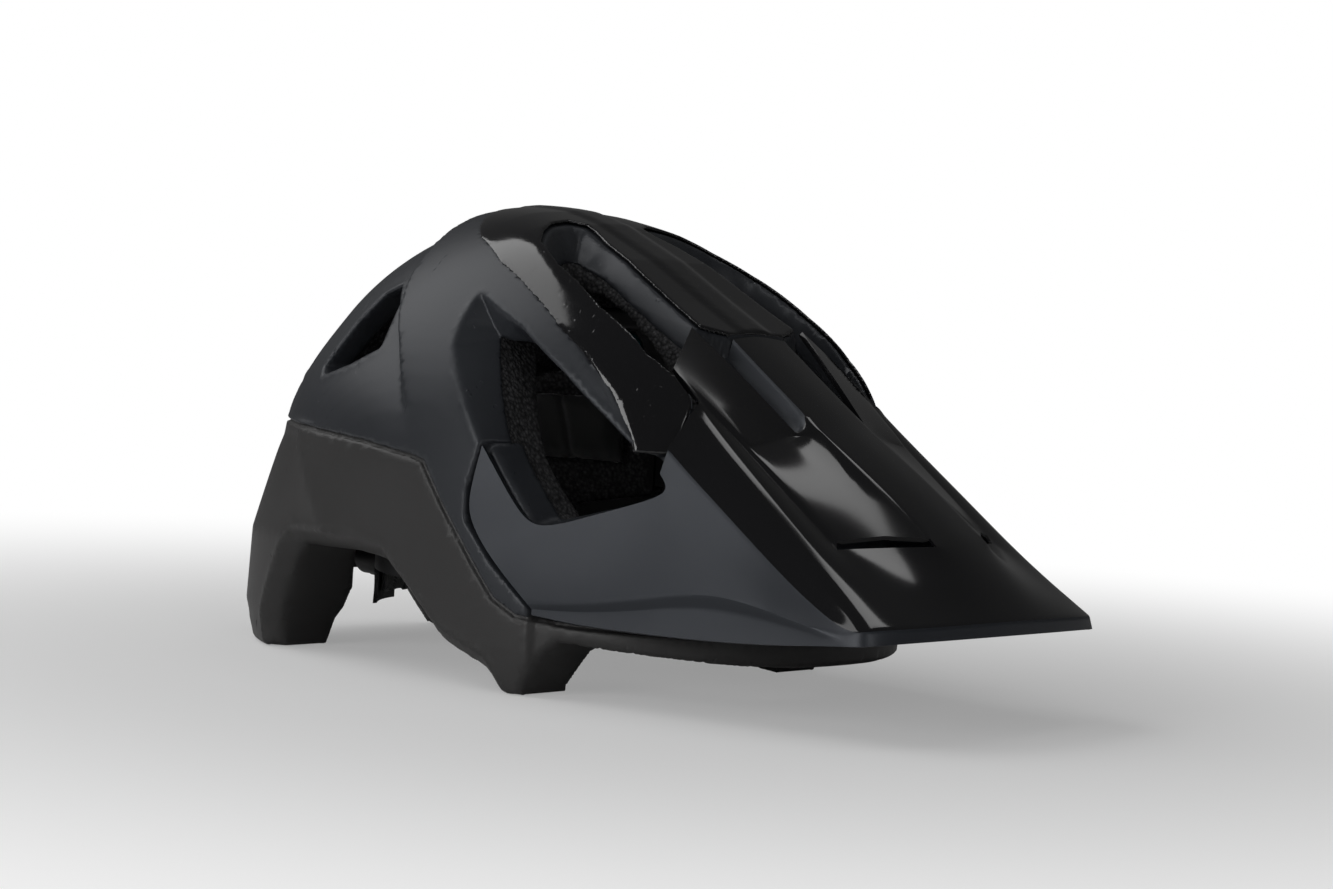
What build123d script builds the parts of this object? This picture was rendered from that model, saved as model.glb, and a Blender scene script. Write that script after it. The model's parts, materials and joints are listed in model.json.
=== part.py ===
from build123d import *
import math
import os

os.makedirs("parts", exist_ok=True)

# A half-shell trail helmet with a tilting visor, standing on its temple drops and rear rim.
# Millimetres; the wearer faces -Y, +Z is up, the helmet is the same left and right of X = 0.

# ---- driving dimensions ----
MID_Y = 14.0            # fore-aft place of the dome's widest section
SKIN = 2.0              # moulded shell thickness
RECESS = 6.0            # how far the shell is set in underneath the visor
LINER_GAP = 0.05        # bond line between shell and foam
CAVITY = (80.0, 112.0, 112.0)      # half sizes of the space for the head
CAVITY_MID = (0.0, 12.0, 62.0)
VISOR_WALL = 2.6
PIVOT = (-50.0, 45.0)   # visor hinge line, (y, z)
PIN_R = 3.5
PIN_CLEAR = 0.06
WEB_W, WEB_T = 15.0, 1.6           # strap webbing
STAND_Y = 22.0          # shift that puts the footprint centre at Y = 0
STAND_Z = 0.0

# outline levels of the outer skin: z, half width, reach to front, reach to rear, squareness
LEVELS = [
    (-8.0, 99.0, 148.0, 153.0, 2.5, 2.45),
    (18.0, 103.0, 152.0, 160.0, 2.5, 2.50),
    (50.0, 105.5, 152.0, 157.0, 2.4, 2.45),
    (72.0, 106.5, 150.0, 151.5, 2.3, 2.30),
    (92.0, 106.6, 147.0, 147.5, 2.1, 2.05),
]
DOME_MID_Z, DOME_R = 82.0, (107.0, 148.0, 120.0)
DOME_LEVELS = [112.0, 134.0, 156.0, 174.0, 188.0, 197.0]

REAR_DROP = 3.5         # rear panel sits this much below the front dome
BROW_DROP = 2.5         # brow strip below the visor sits in from the temple panels
RIM = 3.0               # depth of the lower shell's return around the foam's lower edge
BAND_RISE = 2.0         # height of the gloss bands on the crown


# ---- helpers ----
def at_xyz(x, y, z, shape):
    return Pos(x, y, z) * shape


def outline(z, a, bf, br, nf, nr, off=0.0, count=28):
    """Closed plan outline: superellipse halves that meet at the widest section."""
    pts = []
    for k in range(count):
        t = 2 * math.pi * (k + 0.5) / count
        c, s = math.cos(t), math.sin(t)
        n, b = (nf, bf) if s < 0 else (nr, br)
        x = (a + off) * math.copysign(abs(c) ** (2 / n), c)
        y = MID_Y + (b + off) * math.copysign(abs(s) ** (2 / n), s)
        pts.append((x, y, z))
    return make_face(Spline(*pts, periodic=True))


def skin(off=0.0):
    """The helmet's outer body, grown (or shrunk) by off."""
    faces = [outline(z, a, bf, br, nf, nr, off) for z, a, bf, br, nf, nr in LEVELS]
    rx, ry, rz = (r + off for r in DOME_R)
    for z in DOME_LEVELS:
        zz = DOME_MID_Z + (z - DOME_MID_Z) * rz / DOME_R[2]
        k = math.sqrt(1 - ((zz - DOME_MID_Z) / rz) ** 2)
        faces.append(outline(zz, rx * k, ry * k, ry * k, 2, 2))
    k = 0.08
    top = DOME_MID_Z + rz * math.sqrt(1 - k * k)
    faces.append(outline(top, rx * k, ry * k, ry * k, 2, 2))
    return loft(faces)


def ellipsoid(mid, radii):
    return Pos(*mid) * scale(Sphere(1.0), by=radii)


def side_prism(pts, x0=-140.0, x1=140.0):
    """Prism along X from (y, z) points."""
    pl = Plane(origin=(x0, 0, 0), x_dir=(0, 1, 0), z_dir=(1, 0, 0))
    return extrude(pl * make_face(Polyline(*pts, close=True)), x1 - x0)


def plan_prism(pts, z0=-30.0, z1=230.0):
    """Prism along Z from (x, y) points."""
    return extrude(Pos(0, 0, z0) * make_face(Polyline(*pts, close=True)), z1 - z0)


def front_prism(pts, y0, y1):
    """Prism along Y from (x, z) points."""
    pl = Plane(origin=(0, y0, 0), x_dir=(1, 0, 0), z_dir=(0, -1, 0))
    return extrude(pl * make_face(Polyline(*pts, close=True)), y0 - y1)


def both(shape):
    return shape + mirror(shape, about=Plane.YZ)


def left(shape):
    return mirror(shape, about=Plane.YZ)


def mirrored(pts):
    return pts + [(-x, y) for x, y in reversed(pts) if x]


def unit(v):
    n = math.sqrt(sum(c * c for c in v))
    return tuple(c / n for c in v)


def ribbon(stations, width, thick):
    """Flat band through stations (centre, width direction, face normal)."""
    faces = []
    for c, w, n in stations:
        w, n = unit(w), unit(n)
        q = [tuple(c[i] + sw * width / 2 * w[i] + sn * thick / 2 * n[i] for i in range(3))
             for sw, sn in ((1, 1), (-1, 1), (-1, -1), (1, -1))]
        faces.append(make_face(Polyline(*q, close=True)))
    return loft(faces, ruled=True)


# ---- outlines shared by several parts ----
TOP_VENT = [(20, 0), (42, 2), (49, -12), (54, -42), (56, -73), (57, -106), (22, -112), (21, -60)]
SIDE_VENT = [(-3, 158), (-32, 146), (-56, 129), (-78, 112), (-108, 87), (-100, 83),
             (-53, 67), (-45, 70), (-22, 101), (-3, 126), (2, 142)]
REAR_VENT = [(52, 134), (54, 152), (62, 158), (76, 150), (92, 128), (90, 121), (68, 126)]
REAR_PORT = [(26, 92), (62, 92), (66, 116), (30, 124)]
FRONT_INTAKE = [(14, 72), (44, 68), (40, 92), (14, 98)]
SPINE = [(17.5, -81), (17, -30), (16, 20), (15, 45), (13, 100), (9, 140), (5, 150)]
RIDGE = [(59, -99), (76, -100), (77, -65), (77.5, -42), (74, -21), (69, 1), (58, 28), (44, 46), (27, 53),
         (29, 28), (38, 9), (48, 3), (51, -13), (56, -42), (58, -73)]
CREASE = [(8, 91), (13, 104), (22, 117), (34, 136), (44, 149), (52, 166), (58, 186), (62, 230),
          (240, 230), (240, 101), (90, 98), (42, 96)]
BELOW_SEAM = [(240, 101), (90, 98), (42, 96), (8, 91), (-6, 83), (-22, 60), (-33, 41), (-46, 31.5),
              (-240, 31.5), (-240, -40), (240, -40)]
EAR_ARCH = [(110, -30), (110, 11), (104, 23), (92, 42), (86, 47), (50, 48), (30, 46), (16, 34), (-1, 18),
            (-6, 15), (-26, 7), (-31, 0), (-31, -30)]
REAR_ARCH = [(-54, -30), (-54, -4), (-46, 15), (-34, 28), (34, 28), (46, 15), (54, -4), (54, -30)]
UNDER_BROW = [(-48, -30), (-48, 3), (-56, 18), (-63, 25), (-103, 23), (-140, 20), (-240, 20), (-240, -30)]
VISOR_REAR = [(0, -81), (17, -82), (36, -75), (56, -84), (57.5, -100), (78, -101.5), (130, -92)]
ARM_EDGE = [(-26, 99), (-21.5, 80), (-21.5, 69), (-34.5, 53.5), (-53, 37)]


def visor_room(g):
    """Room kept free for the visor: all in front of its rear edge, and its two side arms."""
    top = plan_prism(mirrored([(x, y + 0.8 + g) for x, y in VISOR_REAR] + [(130, -240)]), 98.9, 230.0)
    arm = side_prism([(y + 0.8 + g, z) for y, z in ARM_EDGE] + [(-53 + g, 33 - g), (-240, 33 - g), (-240, 99)])
    return top + arm


def body_of(off):
    """Helmet body for one skin: off 0 is the outside, -SKIN the inside of the moulded shell."""
    g = -off
    visor = visor_room(g)
    brow = side_prism([(-53 + g, 33 - g), (-53 + g, -60), (-240, -60), (-240, 33 - g)])
    rear = side_prism([(y - g, z - g) for y, z in CREASE])
    over_crown = side_prism([(42, 240), (42, 199.5), (19, 196), (1, 190.5), (-30, 176.5), (-59, 160),
                             (-84, 146.5), (-110, 124), (-260, 10), (-260, 240)])
    over_nose = side_prism([(-60, 240), (-60, 150), (-84, 136.5), (-110, 116.5), (-150, 84), (-260, -6), (-260, 240)])
    main = skin(off) - (visor + brow + rear) - Pos(0, 0, off) * over_crown
    nose = (skin(off - RECESS) & visor) - Pos(0, 0, off) * over_nose
    return main + nose + (skin(off - BROW_DROP) & brow) + (skin(off - REAR_DROP) & rear)


# ---- shells and foam ----
body = body_of(0)
hollow = body_of(-SKIN)
foam_body = body_of(-SKIN - LINER_GAP)
cavity = ellipsoid(CAVITY_MID, CAVITY) + extrude(Pos(0, CAVITY_MID[1], -60) * Ellipse(CAVITY[0] - 0.3, CAVITY[1] - 0.3),
                                                 60 + CAVITY_MID[2])

top_vents = both(plan_prism(TOP_VENT, 100, 230))
side_vents = both(side_prism(SIDE_VENT, 48, 140))
rear_vents = both(side_prism(REAR_VENT, 40, 140))
rear_ports = both(front_prism(REAR_PORT, 240, 90))
intakes = both(front_prism(FRONT_INTAKE, -60, -240))
vents = top_vents + side_vents + rear_vents + rear_ports + intakes

arch = side_prism(EAR_ARCH) + side_prism(UNDER_BROW) + front_prism(REAR_ARCH, 240, 100)
grown = [offset(make_face(Polyline(*[(a, b, 0) for a, b in p], close=True)), RIM)
         for p in (EAR_ARCH, UNDER_BROW, REAR_ARCH)]
side_plane = Plane(origin=(-140, 0, 0), x_dir=(0, 1, 0), z_dir=(1, 0, 0))
rear_plane = Plane(origin=(0, 240, 0), x_dir=(1, 0, 0), z_dir=(0, -1, 0))
arch_foam = (extrude(side_plane * grown[0], 280) + extrude(side_plane * grown[1], 280)
             + extrude(rear_plane * grown[2], 140) + Pos(0, 0, -30 + RIM / 2) * Box(400, 500, 60 + RIM))
floor_cut = Pos(0, 0, -30) * Box(400, 500, 60)

shell = body - hollow - arch - vents - floor_cut
low = side_prism(BELOW_SEAM)
low_cut = side_prism([(y, z + 0.4) for y, z in BELOW_SEAM])
crown_shell = shell - low_cut
rim = (hollow & (arch_foam - arch - floor_cut)) - cavity
lower_shell = (shell & low) + rim
eps_liner = foam_body - cavity - arch_foam - (vents)
channels = (ellipsoid(CAVITY_MID, tuple(r + 9 for r in CAVITY)) & both(plan_prism([(24, -70), (40, -70), (44, 100), (28, 112)], 105, 200)))
dial_pocket = Pos(0, 128, 40) * Box(92, 50, 60)
eps_liner = eps_liner - channels - dial_pocket
lower_shell = lower_shell - dial_pocket

band_tool = skin(BAND_RISE) - Pos(0, 0, BAND_RISE) * side_prism(
    [(42, 240), (42, 199.5), (19, 196), (1, 190.5), (-30, 176.5), (-59, 160), (-84, 146.5), (-110, 124),
     (-260, 10), (-260, 240)])
spine_band = (band_tool - body) & plan_prism(mirrored(SPINE), 118, 230)
spine_band = spine_band - side_prism(CREASE)
ridge_bands = (band_tool - body) & both(plan_prism(RIDGE, 100, 230)) - visor_room(0)


# ---- visor ----
# half sections of the visor's outside: y, then (x, z) from the lower edge up to the middle
VISOR_SECTIONS = [
    (-20, [(104.6, 33), (105.2, 60), (103.6, 99), (72, 152), (18, 178), (0, 179)]),
    (-60, [(98.6, 33), (101.0, 42), (83, 126), (57, 148), (18, 161), (0, 162)]),
    (-101, [(92.5, 31.5), (93.0, 45), (77, 103), (59, 123), (17.5, 136.5), (0, 137.5)]),
    (-150, [(86, 32.5), (85.5, 49), (76, 68), (67, 85), (17, 104), (0, 105)]),
    (-190, [(79.5, 35), (80.5, 40), (75.5, 47), (73, 58), (17, 74), (0, 75)]),
    (-224, [(74, 38), (74.5, 40), (73.5, 42), (71, 43), (17, 43.5), (0, 44)]),
]
WINDOW = [(18.5, -75), (36, -75), (31, -100), (25, -125), (19, -128)]
MOUTH = [(17.5, -186), (46, -167), (47, -171.5), (18.5, -190.5)]
NOSE_R = 250.0          # plan radius of the visor's front edge
NOSE_Y = -218.0


def visor_loft(drop, side):
    faces = []
    for y, pts in VISOR_SECTIONS:
        half = []
        for k, (x, z) in enumerate(pts):
            f = (1.0, 1.0, 0.8, 0.5, 0.05, 0.0)[k]
            d = (0.0, 0.0, 0.55, 0.85, 1.0, 1.0)[k]
            half.append((x - side * f, z - drop * d))
        half = [(half[0][0], half[0][1] - (20 if drop else 0))] + half[1:]
        ring = half + [(-x, z) for x, z in reversed(half[:-1])]
        faces.append(make_face(Polyline(*[(x, y, z) for x, z in ring], close=True)))
    return loft(faces, ruled=True)


nose = Pos(0, NOSE_Y + NOSE_R, 0) * Cylinder(NOSE_R, 500)
visor_shell = visor_loft(0, 0) - visor_loft(VISOR_WALL, VISOR_WALL)
visor_shell = visor_shell & (nose + Pos(0, 150, 0) * Box(600, 500, 500))
rear_plan = plan_prism(mirrored([(x, y) for x, y in VISOR_REAR] + [(130, 40)]), 98.9, 230.0)
rear_side = side_prism(ARM_EDGE + [(-53, 20), (40, 20), (40, 99)])
visor_shell = visor_shell - rear_plan - rear_side - both(side_prism(SIDE_VENT, 40, 140))
visor_shell = visor_shell - both(plan_prism(WINDOW, 80, 230)) - both(plan_prism(MOUTH, 55, 120))
py, pz = PIVOT
boss = Pos(97.6, py, pz) * Rot(0, 90, 0) * Cylinder(8.5, 6.4)
pin_hole = Pos(95.5, py, pz) * Rot(0, 90, 0) * Cylinder(PIN_R, 8.0)
visor_shell = (visor_shell + both(boss)) - both(pin_hole)
visor_pin = Pos(91.5, py, pz) * Rot(0, 90, 0) * Cylinder(PIN_R, 14.0) - Pos(84.5, py, pz) * Rot(0, 90, 0) * Cylinder(1.5, 4)
bushing_r = 7.0
bushing = (Pos(88.6, py, pz) * Rot(0, 90, 0) * Cylinder(bushing_r, 9.4)
           - Pos(88.6, py, pz) * Rot(0, 90, 0) * Cylinder(PIN_R + PIN_CLEAR, 30))
bushing_seat = Pos(99, py, pz) * Rot(0, 90, 0) * Cylinder(bushing_r, 30.2)
boss_pocket = Pos(103.6, py, pz) * Rot(0, 90, 0) * Cylinder(10.5, 20)

# ---- fit system ----
RING = (70.4, 97.0)     # inside half sizes of the cradle ring
RING_Y, RING_T = 14.0, 1.8


def ring(rx, ry, t, z0, z1, y_min, y_max):
    wall = extrude(Pos(0, RING_Y, z0) * (Ellipse(rx + t, ry + t) - Ellipse(rx, ry)), z1 - z0)
    return wall & Pos(0, (y_min + y_max) / 2, (z0 + z1) / 2) * Box(400, y_max - y_min, z1 - z0 + 2)


cradle_frame = (ring(*RING, RING_T, 36, 50, 52, 160)
                + ring(*RING, RING_T, 20, 40, 92, 160) - both(Pos(46, 100, 27) * Rot(90, 0, 0) * Cylinder(7, 60))
                - ring(RING[0] - 1, RING[1] - 1, 4, 19, 33, 108.8, 160))
cradle_pad = both(ring(RING[0] - 5, RING[1] - 5, 4.9, 22, 46, 96, 106.5))
dial_housing = Pos(0, 119.8, 42) * Box(48, 14, 26)
dial_housing = fillet(dial_housing.edges().filter_by(Axis.Y), 9)
dial_housing = dial_housing - Pos(0, 124.0, 42) * Rot(90, 0, 0) * Cylinder(7.2, 6.2) \
    - Pos(0, 120, 42) * Rot(90, 0, 0) * Cylinder(3.06, 30)
dial_housing = dial_housing - Pos(0, 119.8, 52.2) * Box(10.6, 20, 3.0) - Pos(0, 119.8, 54.5) * Box(5.6, 20, 4)
dial_knob = Pos(0, 133, 42) * Rot(90, 0, 0) * Cylinder(15.5, 8)
dial_knob = fillet(dial_knob.edges().filter_by(GeomType.CIRCLE).sort_by(Axis.Y)[-1], 1.6)
for k in range(16):
    dial_knob = dial_knob - Pos(0, 133, 42) * Rot(0, k * 22.5, 0) * Pos(0, 0, 16.4) * Rot(90, 0, 0) * Cylinder(1.9, 10)
dial_knob = dial_knob + Pos(0, 121.5, 42) * Rot(90, 0, 0) * Cylinder(3.0, 15)
dial_pinion = Pos(0, 124.0, 42) * Rot(90, 0, 0) * Cylinder(4.6, 5.4)
for k in range(10):
    dial_pinion = dial_pinion + Pos(0, 124.0, 42) * Rot(0, k * 36, 0) * Pos(0, 0, 5.0) * Box(1.5, 5.4, 2.6)
dial_pinion = dial_pinion - Pos(0, 120, 42) * Rot(90, 0, 0) * Cylinder(3.0, 30)
dial_cap = Pos(0, 137.8, 42) * Rot(90, 0, 0) * Cylinder(9, 1.6)

# height rail on the foam; the slider hangs from it and its tongue carries the cradle
RAIL_Y, RAIL_Z = 119.0, (70.0, 112.0)
rail_mid, rail_len = sum(RAIL_Z) / 2, RAIL_Z[1] - RAIL_Z[0]
height_rail = (Pos(0, RAIL_Y, rail_mid) * Box(26, 6, rail_len) - Pos(0, RAIL_Y - 0.4, rail_mid) * Box(18.2, 3.0, 60)
               - Pos(0, RAIL_Y - 3, rail_mid) * Box(11.2, 4, 60))
height_slider = (Pos(0, RAIL_Y - 0.4, 88) * Box(17.6, 2.4, 20) + Pos(0, RAIL_Y - 4.2, 88) * Box(10.6, 5.2, 20)
                 + Pos(0, RAIL_Y - 6.4, 77) * Box(15, 2.4, 42) + Pos(0, 113, 57.2) * Box(12, 14, 2.4)
                 + Pos(0, 113, 55.0) * Box(5, 14, 4.0) + Pos(0, 113, 52.2) * Box(10, 14, 2.4))
rail_seat = Pos(0, 116.1, rail_mid) * Box(26.0, 11.8, rail_len)

FIXED_RING = (73.2, 100.0)
fit_band = ring(*FIXED_RING, 1.4, 37, 47, -66, 66)
band_right = fit_band & Pos(-100, 0, 40) * Box(200, 400, 100)
band_left = left(band_right)
anchor = Pos(70.5, -40, 42) * Rot(0, 90, 0) * Cylinder(5.0, 9.0)
band_anchors = both(anchor) - fit_band

# ---- straps, dividers, buckle ----
DIV = (77.4, 22.0, 84.0)    # place of a strap divider: x of the base plate, y, z


def frames(path, y=None):
    """Stations along an (x, z) path at constant y, band width along Y."""
    out = []
    for k, (x, z) in enumerate(path):
        a, b = path[max(k - 1, 0)], path[min(k + 1, len(path) - 1)]
        d = unit((b[0] - a[0], 0, b[1] - a[1]))
        out.append(((x, y, z), (0, 1, 0), (d[2], 0, -d[0])))
    return out


def side_frames(path):
    """Stations along an (x, y, z) path lying against the head, faces turned to X."""
    out = []
    for k, p in enumerate(path):
        a, b = path[max(k - 1, 0)], path[min(k + 1, len(path) - 1)]
        d = unit(tuple(b[i] - a[i] for i in range(3)))
        w = unit((0, d[2], -d[1]))
        n = (w[1] * d[2] - w[2] * d[1], w[2] * d[0] - w[0] * d[2], w[0] * d[1] - w[1] * d[0])
        out.append((p, w, n))
    return out


def front_web(s, end_x):
    low_part = side_frames([(s * 71.5, -30, 26), (s * 75.8, -12, 44), (s * 75.0, 10, 58), (s * 74.4, 22, 70),
                            (s * 74.6, 22, 92)])
    top_part = frames([(s * 74.6, 92), (s * 71.3, 104), (s * 65.3, 121), (s * 57, 137), (s * 49, 146), (s * 42, 150),
                       (s * 36, 151), (s * end_x, 151)], 22)
    return ribbon(low_part, WEB_W, WEB_T) + ribbon(top_part, WEB_W, WEB_T)


front_chin_web_right = front_web(-1, 5.0)
front_chin_web_left = front_web(1, 27.0)
rear_web = ribbon(side_frames([(65.4, 73, 57), (71.2, 52, 61), (76.4, 31, 65), (76.9, 23, 72), (76.8, 22, 88)]),
                  WEB_W, WEB_T)
rear_web_left = rear_web
rear_web_right = left(rear_web)

divider_base = Pos(78.3, DIV[1], DIV[2]) * Box(1.2, 26, 20)
for sy in (-1, 1):
    divider_base = divider_base + Pos(74.15, DIV[1] + sy * 11.5, DIV[2]) * Box(9.5, 3.0, 20)
HP = (72.0, 91.0)       # divider lever hinge, (x, z)
divider_base = divider_base - Pos(HP[0], DIV[1], HP[1]) * Rot(90, 0, 0) * Cylinder(1.25 + 0.05, 40)
divider_lever = Pos(71.9, DIV[1], 84) * Box(2.6, 19.2, 16.5)
divider_lever = fillet(divider_lever.edges().filter_by(Axis.Y), 0.8)
divider_lever = divider_lever + Pos(HP[0], DIV[1], HP[1]) * Rot(90, 0, 0) * Cylinder(1.25, 26)
divider_lever = divider_lever + Pos(70.2, DIV[1], 77.5) * Box(1.6, 10, 2.0)

FEM_X0, FEM_X1 = 0.0, 28.0
BZ = 151.0              # height of the webbing at the buckle
buckle_female = Pos((FEM_X0 + FEM_X1) / 2, 22, BZ) * Box(FEM_X1 - FEM_X0, 26, 10)
buckle_female = fillet(buckle_female.edges().filter_by(Axis.X), 2.5)
buckle_female = buckle_female - Pos(6.9, 22, BZ) * Box(14.2, 20.4, 6.4) - Pos(21, 22, BZ) * Box(16, WEB_W + 0.6, WEB_T + 0.6)
buckle_male = Pos(-13, 22, BZ) * Box(24, 26, 9)
buckle_male = fillet(buckle_male.edges().filter_by(Axis.X), 2.5)
buckle_male = buckle_male - Pos(-13, 22, BZ) * Box(26, WEB_W + 1.2, WEB_T + 1.4)
for sy in (-1, 1):
    buckle_male = buckle_male + Pos(5.4, 22 + sy * 8.9, BZ) * Box(13.0, 1.8, 4.6)
strap_keeper = Pos(32.4, 22, BZ) * (Box(6, WEB_W + 4.2, WEB_T + 3.6) - Box(7, WEB_W + 0.4, WEB_T + 0.5))
web_anchors = (both(Pos(74.9, -31.0, 24) * Box(5, 14, 10) + Pos(69.0, 74, 57) * Box(5, 14, 10))
               - both(rear_web) - front_chin_web_left - front_chin_web_right)
divider_seat = both(Pos(74.4, DIV[1], DIV[2] + 0.5) * Box(9.2, 27, 22))

# ---- soft pads ----
brow_ring = extrude(Pos(0, CAVITY_MID[1], 22) * (Ellipse(CAVITY[0] - 0.5, CAVITY[1] - 0.5)
                    - Ellipse(CAVITY[0] - 7.5, CAVITY[1] - 7.5)), 30)
brow_pad = brow_ring & Pos(0, -170, 40) * Box(300, 200, 100)
pad_layer = ellipsoid(CAVITY_MID, tuple(r - 0.3 for r in CAVITY)) - ellipsoid(CAVITY_MID, tuple(r - 7.0 for r in CAVITY))
crown_pad_front = pad_layer & plan_prism([(-13, -62), (13, -62), (15, -4), (-15, -4)], 110, 200)
crown_pad_rear = pad_layer & plan_prism([(-15, 48), (15, 48), (14, 104), (-14, 104)], 100, 200)
temple_ring = extrude(Pos(0, CAVITY_MID[1], 50) * (Ellipse(CAVITY[0] - 0.6, CAVITY[1] - 0.6)
                      - Ellipse(CAVITY[0] - 6.6, CAVITY[1] - 6.6)), 17)
temple_pad_left = temple_ring & Pos(100, -43, 60) * Box(200, 38, 60)
temple_pad_right = left(temple_pad_left)
rear_pad = pad_layer & plan_prism([(46, 50), (70, 48), (62, 92), (42, 96)], 84, 116)
rear_pad_left = rear_pad
rear_pad_right = left(rear_pad)


def on_cavity(x, y, grow=0.0):
    rx, ry, rz = CAVITY
    u, v = (x - CAVITY_MID[0]) / rx, (y - CAVITY_MID[1]) / ry
    w = math.sqrt(1 - u * u - v * v)
    z = CAVITY_MID[2] + rz * w
    return (x, y, z), unit((u / rx, v / ry, w / rz))


damper_spots = [(10, 10), (-10, 10), (10, 34), (-10, 34), (54, 40), (-54, 40)]
dampers = None
for x, y in damper_spots:
    p, n = on_cavity(x, y)
    d = Plane(origin=p, z_dir=n) * (Cylinder(9, 5.0) - Pos(0, 0, -2.5) * Cylinder(3.2, 2.4))
    dampers = d if dampers is None else dampers + d

# ---- seats cut for the fitted parts ----
seats = both(bushing_seat) + web_anchors + band_anchors + divider_seat + rail_seat + dampers
eps_liner = eps_liner - seats - both(boss_pocket)
lower_shell = lower_shell - both(bushing_seat) - web_anchors - both(boss_pocket)
crown_shell = crown_shell - both(bushing_seat) - both(boss_pocket) - both(Pos(99, -52, 32) * Box(16, 9, 9))

nodes = {"crown_shell": crown_shell, "lower_shell": lower_shell, "eps_liner": eps_liner,
         "spine_band": spine_band, "ridge_bands": ridge_bands}

nodes.update({
    "visor_shell": visor_shell, "visor_pin_right": left(visor_pin), "visor_pin_left": visor_pin,
    "pivot_bushings": both(bushing),
    "cradle_frame": cradle_frame, "cradle_pad": cradle_pad, "dial_housing": dial_housing, "dial_knob": dial_knob,
    "dial_pinion": dial_pinion, "dial_cap": dial_cap, "height_rail": height_rail, "height_slider": height_slider,
    "fit_band_right": band_right, "fit_band_left": band_left, "band_anchors": band_anchors,
    "front_chin_web_right": front_chin_web_right, "front_chin_web_left": front_chin_web_left,
    "rear_web_right": rear_web_right, "rear_web_left": rear_web_left, "web_anchors": web_anchors,
    "divider_base_left": divider_base, "divider_base_right": left(divider_base),
    "divider_lever_left": divider_lever, "divider_lever_right": left(divider_lever),
    "buckle_female": buckle_female, "buckle_male": buckle_male, "strap_keeper": strap_keeper,
    "brow_pad": brow_pad, "crown_pad_front": crown_pad_front, "crown_pad_rear": crown_pad_rear,
    "temple_pad_left": temple_pad_left, "temple_pad_right": temple_pad_right,
    "rear_pad_left": rear_pad_left, "rear_pad_right": rear_pad_right, "damper_discs": dampers,
})
for name, shape in nodes.items():
    print(name, round(shape.volume), len(shape.solids()), shape.bounding_box())
    export_step(Pos(0, STAND_Y, STAND_Z) * shape, f"parts/{name}.step")
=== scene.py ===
import json
import math
import bmesh
import bpy
import numpy as np
import openvdb as vdb
from mathutils import Matrix, Vector


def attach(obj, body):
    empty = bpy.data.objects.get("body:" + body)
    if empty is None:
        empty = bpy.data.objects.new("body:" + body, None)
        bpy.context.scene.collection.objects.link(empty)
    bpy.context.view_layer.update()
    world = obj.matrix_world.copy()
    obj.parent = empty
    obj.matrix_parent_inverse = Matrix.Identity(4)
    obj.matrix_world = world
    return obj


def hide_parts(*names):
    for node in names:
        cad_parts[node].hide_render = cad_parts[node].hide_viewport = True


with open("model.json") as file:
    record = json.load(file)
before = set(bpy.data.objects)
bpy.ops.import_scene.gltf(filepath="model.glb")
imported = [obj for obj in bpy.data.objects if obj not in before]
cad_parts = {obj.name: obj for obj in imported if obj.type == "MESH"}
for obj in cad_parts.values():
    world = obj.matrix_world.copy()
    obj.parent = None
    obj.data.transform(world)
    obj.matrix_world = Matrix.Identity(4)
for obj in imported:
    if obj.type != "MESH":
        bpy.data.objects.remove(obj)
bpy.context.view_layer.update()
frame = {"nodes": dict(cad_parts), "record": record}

# The outlines below are in millimetres, -Y to the front, with the dome's middle at y 14.
# The part's own frame has its footprint centred, which is this far along Y:
STAND_Y = 22.0
H = 0.75      # grid step of the moulded shells
F32 = np.float32


# ---------------------------------------------------------------- fields on a grid
def outline_distance(pts, u, v):
    """Signed distance to a closed outline, negative inside, for 2-D arrays u and v."""
    d = np.full(np.broadcast(u, v).shape, 1e9)
    inside = np.zeros(d.shape, bool)
    n = len(pts)
    for i in range(n):
        (x0, y0), (x1, y1) = pts[i], pts[(i + 1) % n]
        ex, ey = x1 - x0, y1 - y0
        wx, wy = u - x0, v - y0
        t = np.clip((wx * ex + wy * ey) / (ex * ex + ey * ey), 0, 1)
        d = np.minimum(d, (wx - ex * t) ** 2 + (wy - ey * t) ** 2)
        if y0 != y1:
            hit = ((y0 > v) != (y1 > v)) & (u < (x1 - x0) * (v - y0) / (y1 - y0) + x0)
            inside ^= hit
    d = np.sqrt(d)
    return np.where(inside, -d, d).astype(F32)


def smax(a, b, k):
    """Intersection with an edge rounded over about k."""
    h = np.maximum(k - np.abs(a - b), 0)
    return np.maximum(a, b) + h * h / (4 * k)


def smin(a, b, k):
    """Union with a fillet of about k."""
    return -smax(-a, -b, k)


def bevel_max(a, b, r):
    """Intersection with a flat bevel of about r on the edge."""
    return np.maximum(np.maximum(a, b), (a + b + r) * F32(0.7071))


def step(d, w):
    """1 where d is well below 0, 0 well above, smooth over w."""
    t = np.clip(0.5 - d / w, 0, 1)
    return t * t * (3 - 2 * t)


# one half of the helmet, from the middle outwards; the other half is its mirror image
X1, Y0, Y1, Z0, Z1 = 109.5, -146.0, 180.0, -3.0, 206.0
ax = ((np.arange(int(X1 / H)) + 0.5) * H).astype(F32)
ay = np.arange(Y0, Y1, H, dtype=F32)
az = np.arange(Z0, Z1, H, dtype=F32)
X, Y, Z = ax[:, None, None], ay[None, :, None], az[None, None, :]
YZ = (ay[:, None], az[None, :])
XY = (ax[:, None], ay[None, :])
XZ = (ax[:, None], az[None, :])


def side(pts):
    """An outline in the side view, as (y, z), cut through the whole grid."""
    return outline_distance(pts, *YZ)[None, :, :]


def plan(pts):
    """An outline in the view from above, as (x, y), cut through the whole grid."""
    return outline_distance(pts, *XY)[:, :, None]


def front(pts):
    """An outline in the front view, as (x, z), cut through the whole grid."""
    return outline_distance(pts, *XZ)[:, None, :]


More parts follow.
